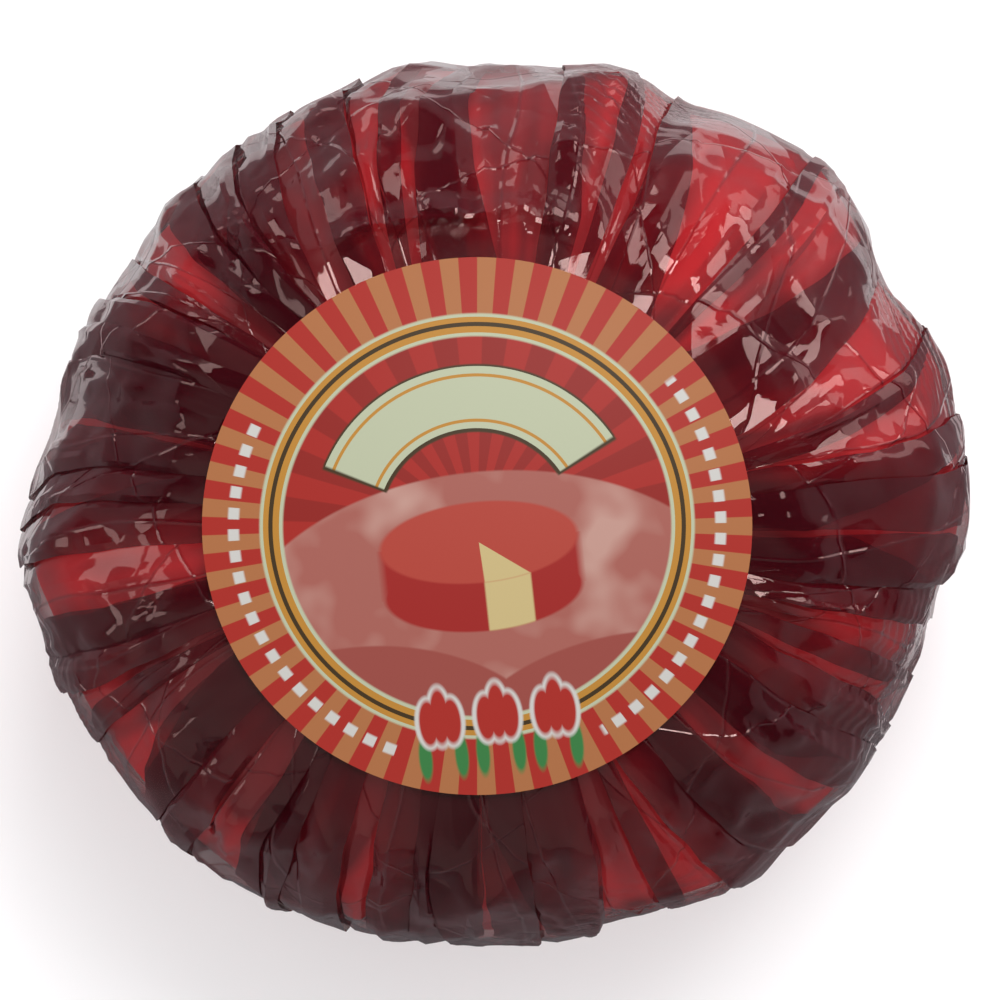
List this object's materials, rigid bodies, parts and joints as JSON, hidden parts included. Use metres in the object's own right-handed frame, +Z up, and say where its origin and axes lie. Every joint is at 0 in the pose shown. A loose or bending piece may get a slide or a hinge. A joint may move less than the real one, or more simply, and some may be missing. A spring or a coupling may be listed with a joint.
{
  "type": "wrapped ball of cheese",
  "caption": "Round ball of cheese in glossy red translucent film, gathered in radial folds under a round paper label on top.",
  "frame": {"origin": "on the ground under the middle of the object's box, under its flat base", "axes": "+Z up from the flat base to the label, +Y towards the top of the label's print, +X to its right"},
  "size_m": [0.1508, 0.141, 0.125],
  "materials": {
    "film": "glossy, creased red cellophane, translucent over the cheese",
    "label_paper": "printed paper with a slight gloss"
  },
  "bodies": {
    "root": {"wrapped_ball": "film", "label": "label_paper"}
  },
  "joints": []
}
